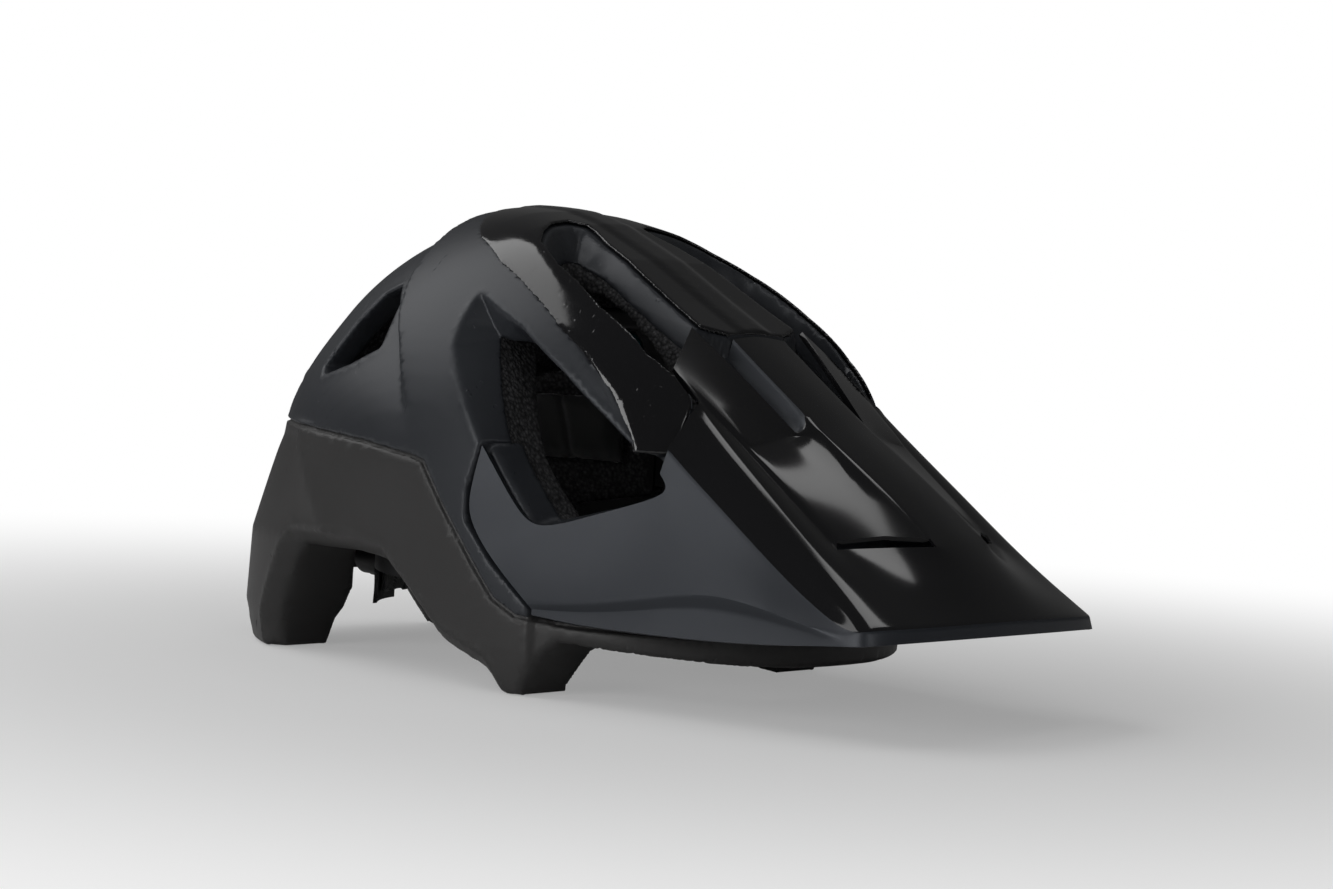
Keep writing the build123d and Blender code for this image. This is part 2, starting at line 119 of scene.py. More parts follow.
MID_Y = 14.0
DOME_FOOT, DOME_RISE = 82, 120
LEVELS = np.array([        # z, half width, reach to front, reach to rear, squareness front, rear
    (-8, 99, 148, 153, 2.5, 2.45), (18, 103, 152, 160, 2.5, 2.5), (50, 105.5, 152, 157, 2.4, 2.45),
    (72, 106.5, 150, 151.5, 2.25, 2.25), (92, 107, 148, 148, 2.05, 2.03), (110, 107, 148, 148, 2.0, 2.0)])


def level(col):
    """One column of LEVELS at each height of the grid."""
    return np.interp(az, LEVELS[:, 0], LEVELS[:, col]).astype(F32)[None, None, :]


def dome_field():
    """Distance to the plain dome, which narrows above DOME_FOOT to DOME_RISE higher."""
    u, v = np.abs(X) / level(1), np.abs(Y - MID_Y)
    ahead = (Y < MID_Y)
    v = np.where(ahead, v / level(2), v / level(3)).astype(F32)
    n = np.where(ahead, level(4), level(5)).astype(F32)
    q = ((u + 1e-4) ** n + (v + 1e-4) ** n) ** (2 / n) + (np.maximum(Z - DOME_FOOT, 0) / DOME_RISE) ** 2
    q = np.sqrt(q).astype(F32)
    g = np.gradient(q, H)
    norm = np.sqrt(g[0] ** 2 + g[1] ** 2 + g[2] ** 2)
    return ((q - 1) / np.maximum(norm, 1e-3)).astype(F32)


def linked(name, data):
    """A new object of the scene."""
    ob = bpy.data.objects.new(name, data)
    bpy.context.scene.collection.objects.link(ob)
    return ob


def keep_largest(me):
    """Drops every loose scrap of mesh but the largest connected one."""
    bm = bmesh.new()
    bm.from_mesh(me)
    label = {}
    groups = []
    for start in bm.verts:
        if start in label:
            continue
        stack, group = [start], [start]
        label[start] = len(groups)
        while stack:
            for e in stack.pop().link_edges:
                for other in e.verts:
                    if other not in label:
                        label[other] = len(groups)
                        stack.append(other)
                        group.append(other)
        groups.append(group)
    largest = max(groups, key=len)
    for group in groups:
        if group is not largest:
            bmesh.ops.delete(bm, geom=group, context="VERTS")
    bm.to_mesh(me)
    bm.free()


def to_object(name, field, adapt=0.2):
    """Meshes the field's zero surface, mirrored to both sides, as one object in the row frame."""
    full = np.concatenate([field[::-1], field], axis=0)
    band = 3 * H
    full = np.clip(full, -band, band).astype(F32)
    grid = vdb.FloatGrid(background=band)
    grid.copyFromArray(full, tolerance=0.0)
    pts, tris, quads = grid.convertToPolygons(isovalue=0.0, adaptivity=adapt)
    pts = np.asarray(pts, float)
    x, y, z = pts[:, 0] * H - (len(ax) - 0.5) * H, pts[:, 1] * H + Y0 + STAND_Y, pts[:, 2] * H + Z0
    pts = np.stack([x, y, z], 1) / 1000
    faces = [tuple(int(i) for i in t) for t in tris] + [tuple(int(i) for i in q) for q in quads]
    me = bpy.data.meshes.new(name)
    me.from_pydata([tuple(p) for p in pts], [], faces)
    me.validate()
    keep_largest(me)
    me.shade_smooth()
    return linked(name, me)


# ---------------------------------------------------------------- outlines
TOP_VENT = [(19, 1), (25, 5), (37, 3), (47, -2), (54.5, -8), (62, -25), (66.5, -53), (65, -79),
            (61, -90), (58.5, -100), (50, -104), (33, -100), (31.5, -74), (28, -39), (24, -15),
            (19.5, -4)]
SIDE_VENT = [(0, 159), (-3, 158), (-28, 146), (-52, 130), (-72, 114), (-89, 99), (-98, 92), (-103, 86),
             (-101, 82), (-78, 75.5), (-53, 67.5), (-49, 69), (-25, 99), (-4, 129), (1, 137), (2, 146),
             (1, 157)]
REAR_VENT = [(50, 134), (52, 152), (60, 160), (70, 156), (82, 142), (92, 124), (89, 120), (68, 126)]
REAR_PORT = [(26, 92), (62, 92), (66, 116), (30, 124)]
INTAKE = [(14, 72), (44, 68), (40, 92), (14, 98)]
GLOSS = [(-5, 52), (20, 49), (38, 42), (50, 34), (58, 25), (70, 1), (76, -22), (80, -44), (79.5, -66),
         (78.5, -80), (77, -99.5), (59, -99.2), (56.5, -86), (20, -83), (17.5, -80.5), (-5, -79.5)]
CREASE = [(8, 86), (13, 104), (22, 117), (34, 136), (44, 149), (52, 166), (57, 186), (60, 240),
          (260, 240), (260, 60), (8, 60)]
SEAM_LOW = [(260, 101), (90, 98), (42, 95.5), (10, 91.5), (4, 90), (-8, 73), (-24, 52), (-35, 38),
            (-46, 32), (-70, 30), (-260, 30), (-260, -60), (260, -60)]
PANEL_EDGE = ((95, 98), (56, 48))      # crease between the side panel and the rear of the lower shell
EAR_ARCH = [(110, -30), (110, 11), (104, 23), (92, 42), (86, 47), (50, 48), (30, 46), (16, 34),
            (-1, 18), (-6, 15), (-26, 7), (-31, 0), (-31, -30)]
REAR_ARCH = [(-60, -30), (54, -30), (54, -4), (46, 15), (34, 28), (-60, 28)]
UNDER_BROW = [(-48, -30), (-48, 3), (-56, 17), (-63, 23), (-103, 20.5), (-140, 17), (-260, 17),
              (-260, -30)]
VISOR_REAR = [(-9, -81), (17, -82), (36, -75), (56, -84), (57.5, -100), (78, -101.5), (160, -92),
              (160, -260), (-9, -260)]
ARM = [(-26, 99), (-21.5, 80), (-21.5, 69), (-34.5, 53.5), (-53, 37), (-53, 33), (-260, 33), (-260, 99)]
CROWN_LINE = [(260, 199.6), (42, 199.6), (19, 196), (1, 190.5), (-30, 176.5), (-59, 160), (-84, 146.5),
              (-110, 124), (-260, 10), (-260, -60), (260, -60)]
NOSE_LINE = [(260, 150), (-60, 150), (-84, 136.5), (-110, 116.5), (-150, 84), (-260, -6), (-260, -60),
             (260, -60)]

SHELL = 2.6                  # thickness of both shells
FOAM_GAP = 0.3               # between shell and foam
REAR_STEP = 4.4              # how far the crown behind the crease is sunk, at most
BROW_STEP = 2.5              # how far the brow lip is sunk
BROW_Y, BROW_Z = -53, 33     # the brow lip is in front of this y and below this z
NOSE_INSET = 6.0             # how far the shell under the visor is sunk
TOP_ROUND = 9.0              # rounding where the crown's outline cuts the dome
VISOR_FLOOR, ARM_TOP = 98.9, 99.2       # the visor's plan outline holds above one, its arm's below the other
COLLAR, COLLAR_DEPTH = 2.2, 12          # thickness and depth of the wall round each vent
BED_INSET, BED_DEPTH = 1.2, 1.5         # the bed in the crown that the gloss bands lie in
RIDGE_RAISED, SPINE_MORE = 0.35, 1.0    # how far the ridges stand proud, and the spine beyond that
RIM = 10.0                   # height of the solid edge along the bottom
ARCH_BEVEL = 8.5             # bevel along the ear arch
SEAM_HALF = 0.7              # half the gap between the shells
TONGUE_DROP, TONGUE_REACH = 1.4, 3.0    # the strip of lower shell that closes the gap from behind
HEAD_MID, HEAD_FOOT = 12, 62            # room for the head: its middle's y, and where it starts to narrow
HEAD_RADII, HEAD_SCALE = (80, 112, 112), 88     # its radii, and one that turns their ratio into mm
DIAL_MID, DIAL_HALF = (128, 40), (46, 25, 30)   # room for the dial: middle (y, z) and half sizes

dome = dome_field()
crown_line, nose_line = side(CROWN_LINE), side(NOSE_LINE)
under_top = np.maximum(plan(VISOR_REAR), VISOR_FLOOR - Z)
under_visor = np.minimum(under_top, np.maximum(side(ARM), Z - ARM_TOP))
brow = np.maximum(Y - BROW_Y, Z - BROW_Z)
crease = side(CREASE)
top_vent, side_vent = plan(TOP_VENT), side(SIDE_VENT)
rear_vent, rear_port, intake = side(REAR_VENT), front(REAR_PORT), front(INTAKE)
gloss_area = plan(GLOSS)
seam = side(SEAM_LOW)

(edge_y0, edge_z0), (edge_y1, edge_z1) = PANEL_EDGE
run_y, run_z = edge_y0 - edge_y1, edge_z0 - edge_z1
behind = ((Y - edge_y0) * run_z - (Z - edge_z0) * run_y) / math.hypot(run_y, run_z)
edge_lift = 1.8 * np.exp(-np.abs(behind) / 14) * step(seam - 2, 3) * np.clip((Y - 20) / 30, 0, 1)


def outer_of(off):
    """The helmet's skin moved in by off, its steps shifted as far, so a wall keeps its thickness there."""
    g = F32(off)
    top = smax(dome, crown_line, TOP_ROUND)
    sink = REAR_STEP * step(crease - g, 2.6) * (1 - step(seam - 26, 44))
    sink = sink + BROW_STEP * step(brow - g, 1.6)
    out = top + sink - edge_lift
    nose = smax(dome + NOSE_INSET, nose_line, TOP_ROUND)
    w = step(under_visor - 1.0 - g, 1.4)
    return (out * (1 - w) + nose * w + g).astype(F32)


skin = outer_of(0)
inside = outer_of(SHELL)

# vent cutters: each hole narrows with depth, so its wall is a sloping scoop
depth = np.clip(-skin, 0, COLLAR_DEPTH)
slope_side = 0.30 + 0.75 * step(-Y - 22, 30)
slope_top = 0.12 + 0.75 * step(-Y - 12, 22) + 0.45 * step(X - 34, 10)
cut_top = np.maximum(top_vent + slope_top * depth, 100 - Z)
cut_side = np.maximum(side_vent + slope_side * depth, 46 - X)
cut_rear = np.maximum(rear_vent + 0.25 * depth, 38 - X)
cut_port = np.maximum(rear_port, 92 - Y)
cut_intake = np.maximum(intake, Y + 58)
vents = np.minimum(np.minimum(cut_top, cut_side), np.minimum(cut_rear, cut_port))
vents = np.minimum(vents, cut_intake)

# everything below the bottom edge: ear arch, brow, rear arch and the floor
ear_arch = side(EAR_ARCH)
arch = np.minimum(np.minimum(ear_arch, side(UNDER_BROW)), np.maximum(front(REAR_ARCH), 98 - Y))
arch = np.minimum(arch, Z)

rx, ry, rz = HEAD_RADII
reach = np.sqrt((X / rx) ** 2 + ((Y - HEAD_MID) / ry) ** 2 + (np.maximum(Z - HEAD_FOOT, 0) / rz) ** 2)
cavity = ((reach - 1) * HEAD_SCALE).astype(F32)
(dial_y, dial_z), (half_x, half_y, half_z) = DIAL_MID, DIAL_HALF
pocket = np.maximum(np.maximum(X - half_x, np.abs(Y - dial_y) - half_y), np.abs(Z - dial_z) - half_z)


def crown_shell():
    """Upper shell with a collar round each vent and a bed for the gloss bands."""
    wall = np.maximum(skin, -inside)
    collar = np.maximum(np.maximum(skin, -(skin + COLLAR_DEPTH)), vents - COLLAR)
    field = smin(wall, np.maximum(collar, -(Y + 108)), 1.0)
    field = smax(field, -vents, 1.6)
    field = smax(field, -(seam - SEAM_HALF), 0.8)
    field = np.maximum(field, -np.maximum(gloss_area + BED_INSET, -(skin + BED_DEPTH)))
    return to_object("crown_shell_skin", field)


def gloss_bands():
    """The gloss skin of the two ridges and, standing higher, the spine between them."""
    raised = RIDGE_RAISED + SPINE_MORE * step(X - 9, 7.0)
    area = smax(gloss_area, -(top_vent - 0.5), 1.0)
    field = smax(np.maximum(skin - raised, -(skin + 1.0)), area, 1.2)
    field = np.maximum(field, 96 - Z)
    return to_object("crown_gloss_bands", field, adapt=0.05)


def lower_shell():
    """Lower shell with a solid rim, bevelled at the ear arch, and a tongue behind the seam."""
    bevelled = bevel_max(bevel_max(skin, -ear_arch, ARCH_BEVEL), -arch, 2.0)
    wall = np.maximum(bevelled, -inside)
    rim = np.maximum(np.maximum(bevelled, -cavity), arch - RIM)
    field = smax(smin(wall, rim, 1.5), seam + SEAM_HALF, 0.8)
    tongue = np.maximum(np.maximum(skin + TONGUE_DROP, -inside), np.abs(seam) - TONGUE_REACH)
    field = np.minimum(field, tongue)
    field = smax(field, -cut_port, 1.2)
    field = smax(field, -arch, 1.0)
    field = np.maximum(field, -pocket)
    return to_object("lower_shell_skin", field)


def foam_liner():
    """Foam between the shells and the head's room, cut back round the vents."""
    field = np.maximum(outer_of(SHELL + FOAM_GAP), -cavity)
    field = np.maximum(field, -(arch - (RIM + FOAM_GAP)))
    field = smax(field, -(vents - 1.4), 2.0)
    field = np.maximum(field, -pocket)
    return to_object("foam_liner", field, adapt=0.5)


crown_ob = crown_shell()
cap_ob = gloss_bands()
lower_ob = lower_shell()
foam_ob = foam_liner()

# ---------------------------------------------------------------- visor
# Cage of one half: name, then x, y, z. Letters run outwards from the middle (C) to the flange (F);
# numbers run from the rear edge forward.
CAGE = {
    # middle and edge of the centre strip
    "C0": (0, -80.8, 148.6), "C1": (0, -102, 134.2), "C2": (0, -124, 118.8), "C3": (0, -131, 113.9),
    "C4": (0, -147, 104.2), "C5": (0, -167, 91.4), "C6": (0, -187, 77.0), "C7": (0, -192, 73.2),
    "C8": (0, -206, 60.0), "C9": (0, -217.6, 45.2), "S0": (17, -82, 146.4), "S1": (17, -102, 132.0),
    "S2": (17, -124, 116.6), "S3": (17, -130.5, 112.2), "S4": (17, -147, 102.2), "S5": (17, -167, 89.4),
    "S6": (17, -187, 74.8), "S7": (17.2, -190.5, 72.0), "S8": (17.6, -205, 59.4),
    "S9": (18, -217.0, 45.0),
    # wall down from the strip into the slot beside it
    "W0": (18.2, -81, 139.5), "W1": (18.2, -101, 125.0), "W2": (18.2, -122.5, 110.0),
    "V0": (22, -80, 137), "V1": (21.6, -100, 122.5), "V2": (21, -121.5, 108.0),
    # rear facet of the hood
    "I0": (36, -75.8, 150.6), "I1": (30, -100, 131.6), "I2": (24.6, -123.5, 111.2),
    "O0": (56, -84.5, 134.2), "O1": (54, -99, 123.6), "O2": (50.6, -121, 107.2),
    # front facets, one step down
    "T2": (24.4, -124.6, 109.8), "M2": (36, -123.2, 107.4), "P2": (50.6, -121.9, 105.4),
    "P3": (50.9, -145, 89.0), "P4": (50, -167, 72.8), "X2": (17.4, -131.4, 111.0),
    "X3": (24.4, -153, 93.6), "X4": (32, -176.2, 75.2),
    # channel outside the hood, then crest, then the line where gloss meets satin
    "K0": (57.2, -100.6, 121.4), "K1": (55.2, -101.5, 119.8), "K2": (52.4, -122, 103.8),
    "K3": (52.6, -145, 86.6), "K4": (51.8, -168.6, 69.6), "D4": (33, -178.2, 70.8),
    "D5": (35.5, -198, 57.8), "D6": (38, -214.8, 44.6), "E5": (54.5, -192, 55.6),
    "E6": (58, -211.2, 43.9), "R0": (61.5, -101.2, 119.6), "R2": (63.6, -121.4, 105.2),
    "R3": (66.0, -144, 88.8), "R4": (68.6, -167.5, 70.6), "R5": (71.8, -189, 54.2),
    "R6": (73.0, -204.6, 43.2), "G0": (77.2, -102.2, 102.8), "G1": (76.8, -111, 96.0),
    "G2": (76.5, -121.4, 88.4), "G3": (76.3, -143.5, 72.4), "G4": (76.0, -167, 55.8),
    "G5": (76.2, -185, 46.0), "G6": (76.8, -194.5, 42.4), "G7": (76.9, -200.4, 42.4),
    # front lip, lower edge
    "H0": (0, -218.0, 39.9), "H1": (18, -217.4, 39.8), "H2": (38, -215.2, 39.4),
    "H3": (58.4, -211.6, 38.8), "H4": (73.6, -206.0, 37.8), "H5": (78.2, -201.6, 37.2),
    # satin side: round the vent, then middle, then lower line, step and flange
    "Q0": (80.0, -101.2, 93.4), "Q1": (80.4, -107.6, 87.2), "Q2": (83.2, -99, 82.6),
    "Q3": (90.0, -77, 75.2), "Q4": (96.2, -56, 67.6), "Q5": (98.4, -46.6, 70.8),
    "Q6": (99.9, -34.5, 86.0), "A0": (101.7, -25.2, 98.8), "A1": (104.1, -21.9, 80),
    "A2": (104.5, -22.2, 69), "A3": (103.1, -35.0, 53.6), "A4": (100.2, -53.6, 37.6),
    "U1": (99.0, -56, 52), "U2": (93.8, -76, 57), "U3": (87.4, -101, 63), "U4": (84.4, -121, 64),
    "U5": (82.4, -142, 58.6), "Y4": (80.2, -120, 77), "Y5": (79.0, -143, 66.0),
    "Y6": (79.2, -166, 51.2), "B2": (96.4, -77, 39.8), "B3": (92.4, -102, 44.2),
    "B4": (89.2, -121, 48.4), "B5": (86.4, -141, 50.4), "B6": (83.4, -165, 46.0),
    "B7": (80.4, -188, 40.2), "N1": (98.6, -54.4, 35.8), "N2": (94.2, -77.4, 36.6),
    "N3": (89.8, -102.4, 40.2), "N4": (86.4, -121.6, 43.6), "N5": (83.2, -141.4, 44.6),
    "N6": (81.2, -165, 42.2), "N7": (79.6, -189, 38.9), "F1": (99.2, -55.0, 33.6),
    "F2": (96.2, -78, 31.9), "F3": (92.4, -103, 31.8), "F4": (89.2, -122, 31.9),
    "F5": (86.2, -142, 32.4), "F6": (82.4, -166, 33.8), "F7": (79.2, -190, 36.2)}
# faces, and runs of sharp edges, as cage points
GLOSS_FACES = """
C0 S0 S1 C1/C1 S1 S2 C2/C2 S2 S3 C3/C3 S3 S4 C4/C4 S4 S5 C5/C5 S5 S6 C6/C6 S6 S7 C7/C7 S7 S8 C8
C8 S8 S9 C9/I0 O0 O1 I1/I1 O1 O2 M2 T2 I2/S2 I2 T2 X2 S3/T2 M2 X3 X2/M2 P2 P3 X3/X3 P3 P4 X4
S3 X2 X3 S4/S4 X3 S5/S5 X3 X4 S6/O0 K0 K1 O1/O1 K1 K2 P2 O2/P2 K2 K3 P3/P3 K3 K4 P4/K0 R0 K1
K1 R0 R2 K2/K2 R2 R3 K3/K3 R3 R4 K4/O2 P2 M2/R0 G0 G1 R2/R2 G1 G2/R2 G2 G3 R3/R3 G3 G4 R4
R4 G4 G5 R5/R5 G5 G6/R5 G6 G7 R6/S7 D4 D5 S8/S8 D5 D6 S9/D4 K4 E5 D5/D5 E5 E6 D6/K4 R4 R5 E5
E5 R5 R6 E6
"""
SATIN_FACES = """
C9 S9 H1 H0/S9 D6 H2 H1/D6 E6 H3 H2/E6 R6 H4 H3/R6 G7 H5 H4/G7 G6 B7 N7 F7 H5/G6 G5 B6 B7
G5 G4 Y6 B6/G4 G3 Y5 Y6/G3 G2 Y4 Y5/G2 G1 Q1 Y4/G1 G0 Q0 Q1/Q1 Q2 U3 U4 Y4/Q2 Q3 U2 U3/Q3 Q4 U1 U2
Y4 U4 U5 Y5/Y5 U5 B6 Y6/Q4 Q5 A2 A3/Q4 A3 U1/Q5 Q6 A1 A2/Q6 A0 A1/A3 A4 U1/U1 A4 B2 U2/U2 B2 B3 U3
U3 B3 B4 U4/U4 B4 B5 U5/U5 B5 B6/A4 N1 N2 B2/B2 N2 N3 B3/B3 N3 N4 B4/B4 N4 N5 B5/B5 N5 N6 B6
B6 N6 N7 B7/N1 F1 F2 N2/N2 F2 F3 N3/N3 F3 F4 N4/N4 F4 F5 N5/N5 F5 F6 N6/N6 F6 F7 N7/S0 W0 W1 S1
S1 W1 W2 S2/W0 V0 V1 W1/W1 V1 V2 W2/S2 W2 V2 I2
"""
SHARP_RUNS = """
S0 S1 S2 S3 X2/I2 T2/O0 O1 O2 P2 P3 P4/K0 K1 K2 K3 K4/T2 M2 P2/T2 X2/X2 X3 X4
S3 S4 S5 S6 S7/S7 D4 K4/S6 X4 P4/C9 S9 D6 E6 R6 G7 G6/H0 H1 H2 H3 H4 H5/B2 B3 B4 B5 B6 B7/A4 B2
N1 N2 N3 N4 N5 N6 N7/F1 F2 F3 F4 F5 F6 F7 H5/A0 A1 A2 A3 A4 N1 F1/K1 K0/O0 K0/I0 I1 I2/I0 O0
C0 S0
"""
CREASES = {0.95: SHARP_RUNS, 0.8: "G0 G1 G2 G3 G4 G5 G6"}
CORNERS = "G0 O0 I0 S0 K0 A0 A4 F1 P4 X4 S6 S7 K4 I2 Q0 W0 V0 V2"
VISOR_THICK, VISOR_BEVEL = 0.0022, 0.0004      # metres


def runs_of(block):
    """The lists of point names in a block, which slashes or line ends keep apart."""
    return [run.split() for run in block.strip().replace("\n", "/").split("/")]


def visor_cage():
    """The visor's half cage, creased, mirrored and thickened."""
    me = bpy.data.meshes.new("visor")
    bm = bmesh.new()
    edge_crease = bm.edges.layers.float.new("crease_edge")
    point_crease = bm.verts.layers.float.new("crease_vert")
    point = {n: bm.verts.new((x / 1000, (y + STAND_Y) / 1000, z / 1000)) for n, (x, y, z) in CAGE.items()}
    for block, slot in ((GLOSS_FACES, 0), (SATIN_FACES, 1)):
        for names in runs_of(block):
            f = bm.faces.new([point[n] for n in names])
            f.material_index = slot
            f.smooth = True
    for weight, block in CREASES.items():
        for names in runs_of(block):
            for a, b in zip(names, names[1:]):
                bm.edges.get((point[a], point[b]))[edge_crease] = weight
    for n in CORNERS.split():
        point[n][point_crease] = 1.0
    half = bm.verts[:] + bm.edges[:] + bm.faces[:]
    bmesh.ops.mirror(bm, geom=half, matrix=Matrix.Identity(4), merge_dist=1e-5, axis="X")
    bmesh.ops.recalc_face_normals(bm, faces=bm.faces[:])
    if sum(f.normal.z * f.calc_area() for f in bm.faces) < 0:
        bmesh.ops.reverse_faces(bm, faces=bm.faces[:])
    bm.to_mesh(me)
    bm.free()
    ob = linked("visor_skin", me)
    m = ob.modifiers.new("Subdivision", "SUBSURF")
    m.levels = m.render_levels = 3
    m.boundary_smooth = "PRESERVE_CORNERS"
    m = ob.modifiers.new("Solidify", "SOLIDIFY")
    m.thickness = VISOR_THICK
    m.offset = -1.0
    m.thickness_clamp = 0.5
    m = ob.modifiers.new("Bevel", "BEVEL")
    m.width = VISOR_BEVEL
    m.segments = 2
    m.limit_method = "ANGLE"
    m.angle_limit = math.radians(30)
    m.use_clamp_overlap = True
    m.harden_normals = True
    return ob


visor_ob = visor_cage()


# ---------------------------------------------------------------- materials
def material(name, colour, rough, metallic=0.0, coat=0.0, sheen=0.0):
    """A new material, its node tree and its shader."""
    m = bpy.data.materials.new(name)
    m.use_nodes = True
    nt = m.node_tree
    b = nt.nodes["Principled BSDF"]
    b.inputs["Base Color"].default_value = (*colour, 1)
    b.inputs["Roughness"].default_value = rough
    b.inputs["Metallic"].default_value = metallic
    b.inputs["Coat Weight"].default_value = coat
    b.inputs["Coat Roughness"].default_value = 0.08
    b.inputs["Specular IOR Level"].default_value = 0.5
    b.inputs["Sheen Weight"].default_value = sheen
    return m, nt, b


def node(nt, kind, **values):
    """A node with its sockets or properties set by name."""
    n = nt.nodes.new(kind)
    for k, v in values.items():
        if k in n.inputs:
            n.inputs[k].default_value = v
        else:
            setattr(n, k, v)
    return n


def mottle(nt, b, colour, spread, scale, rough, rough_spread, bump_scale, bump):
    """Slow colour variation, roughness variation and a fine grain."""
    pos = node(nt, "ShaderNodeTexCoord").outputs["Object"]
    slow = node(nt, "ShaderNodeTexNoise", Scale=scale, Detail=4.0)
    nt.links.new(pos, slow.inputs["Vector"])
    ramp = node(nt, "ShaderNodeValToRGB")
    ramp.color_ramp.elements[0].position, ramp.color_ramp.elements[1].position = 0.3, 0.7
    ramp.color_ramp.elements[0].color = (*[c * (1 - spread) for c in colour], 1)
    ramp.color_ramp.elements[1].color = (*[c * (1 + spread) for c in colour], 1)
    nt.links.new(slow.outputs["Fac"], ramp.inputs["Fac"])
    nt.links.new(ramp.outputs["Color"], b.inputs["Base Color"])
    span = node(nt, "ShaderNodeMapRange")
    span.inputs["To Min"].default_value = rough - rough_spread
    span.inputs["To Max"].default_value = rough + rough_spread
    nt.links.new(slow.outputs["Fac"], span.inputs["Value"])
    nt.links.new(span.outputs["Result"], b.inputs["Roughness"])
    fine = node(nt, "ShaderNodeTexNoise", Scale=bump_scale, Detail=6.0)
    nt.links.new(pos, fine.inputs["Vector"])
    bm = node(nt, "ShaderNodeBump", Strength=bump, Distance=0.0002)
    nt.links.new(fine.outputs["Fac"], bm.inputs["Height"])
    nt.links.new(bm.outputs["Normal"], b.inputs["Normal"])


def plastic(name, colour, rough, spread=0.06, rough_spread=0.03, grain=2600.0, bump=0.1, metallic=0.0,
            coat=0.0):
    """Moulded plastic: faint mottling and a fine moulding grain."""
    m, nt, b = material(name, colour, rough, metallic, coat)
    mottle(nt, b, colour, spread, 18.0, rough, rough_spread, grain, bump)
    return m


satin = plastic("crown_satin_plastic", (0.030, 0.033, 0.039), 0.40, bump=0.12, metallic=0.25)
slate = plastic("visor_satin_plastic", (0.033, 0.037, 0.045), 0.40, bump=0.16, metallic=0.35)
matte = plastic("lower_matte_plastic", (0.029, 0.028, 0.028), 0.46, bump=0.22, grain=1900.0)
gloss = plastic("gloss_black_plastic", (0.007, 0.007, 0.008), 0.10, spread=0.1, rough_spread=0.015,
                bump=0.01, coat=0.3)
nylon = plastic("moulded_nylon", (0.014, 0.014, 0.015), 0.45, bump=0.2, grain=1500.0)
rubber = plastic("soft_grip_rubber", (0.018, 0.018, 0.019), 0.7, bump=0.35, grain=1200.0)
steel = plastic("turned_steel", (0.55, 0.55, 0.56), 0.28, bump=0.1, metallic=1.0)
damper = plastic("damper_elastomer", (0.02, 0.16, 0.2), 0.5, bump=0.2, grain=900.0)


def foam_material():
    """Pressed foam beads, each its own shade."""
    m, nt, b = material("black_foam_beads", (0.02, 0.02, 0.021), 0.8)
    pos = node(nt, "ShaderNodeTexCoord").outputs["Object"]
    cells = node(nt, "ShaderNodeTexVoronoi", Scale=620.0)
    nt.links.new(pos, cells.inputs["Vector"])
    ramp = node(nt, "ShaderNodeValToRGB")
    ramp.color_ramp.elements[0].position, ramp.color_ramp.elements[1].position = 0.15, 0.75
    ramp.color_ramp.elements[0].color = (0.05, 0.05, 0.052, 1)
    ramp.color_ramp.elements[1].color = (0.008, 0.008, 0.009, 1)
    nt.links.new(cells.outputs["Distance"], ramp.inputs["Fac"])
    shade = node(nt, "ShaderNodeHueSaturation")
    rnd = node(nt, "ShaderNodeMapRange")
    rnd.inputs["To Min"].default_value, rnd.inputs["To Max"].default_value = 0.6, 1.9
    nt.links.new(cells.outputs["Color"], rnd.inputs["Value"])
    nt.links.new(ramp.outputs["Color"], shade.inputs["Color"])
    nt.links.new(rnd.outputs["Result"], shade.inputs["Value"])
    nt.links.new(shade.outputs["Color"], b.inputs["Base Color"])
    bp = node(nt, "ShaderNodeBump", Strength=0.8, Distance=0.0009, invert=True)
    nt.links.new(cells.outputs["Distance"], bp.inputs["Height"])
    nt.links.new(bp.outputs["Normal"], b.inputs["Normal"])
    return m


def fabric_material(name, colour, along, across, depth=0.0004, sheen=0.3):
    """Woven bands: two crossed waves as bump, with a thread-to-thread colour change."""
    m, nt, b = material(name, colour, 0.85, sheen=sheen)
    pos = node(nt, "ShaderNodeTexCoord").outputs["Object"]
    waves = []
    for direction, scale in (("Y", along), ("Z", across)):
        w = node(nt, "ShaderNodeTexWave", Scale=scale, Distortion=0.6, bands_direction=direction)
        nt.links.new(pos, w.inputs["Vector"])
        waves.append(w)
    mix = node(nt, "ShaderNodeMath", operation="MULTIPLY")
    nt.links.new(waves[0].outputs["Fac"], mix.inputs[0])
    nt.links.new(waves[1].outputs["Fac"], mix.inputs[1])
    ramp = node(nt, "ShaderNodeValToRGB")
    ramp.color_ramp.elements[0].color = (*[c * 0.5 for c in colour], 1)
    ramp.color_ramp.elements[1].color = (*[c * 1.6 for c in colour], 1)
    nt.links.new(mix.outputs["Value"], ramp.inputs["Fac"])
    nt.links.new(ramp.outputs["Color"], b.inputs["Base Color"])
    bp = node(nt, "ShaderNodeBump", Strength=0.7, Distance=depth)
    nt.links.new(mix.outputs["Value"], bp.inputs["Height"])
    nt.links.new(bp.outputs["Normal"], b.inputs["Normal"])
    return m


beads = foam_material()
webbing = fabric_material("black_webbing", (0.014, 0.014, 0.016), 900.0, 700.0)
knit = fabric_material("pad_knit", (0.022, 0.022, 0.025), 1300.0, 1300.0, 0.0003, 0.5)


def dress(ob, *mats):
    """Puts the materials on the object, and keeps which face has which."""
    slots = [p.material_index for p in ob.data.polygons]
    ob.data.materials.clear()
    for m in mats:
        ob.data.materials.append(m)
    if len(mats) > 1:
        ob.data.polygons.foreach_set("material_index", slots)


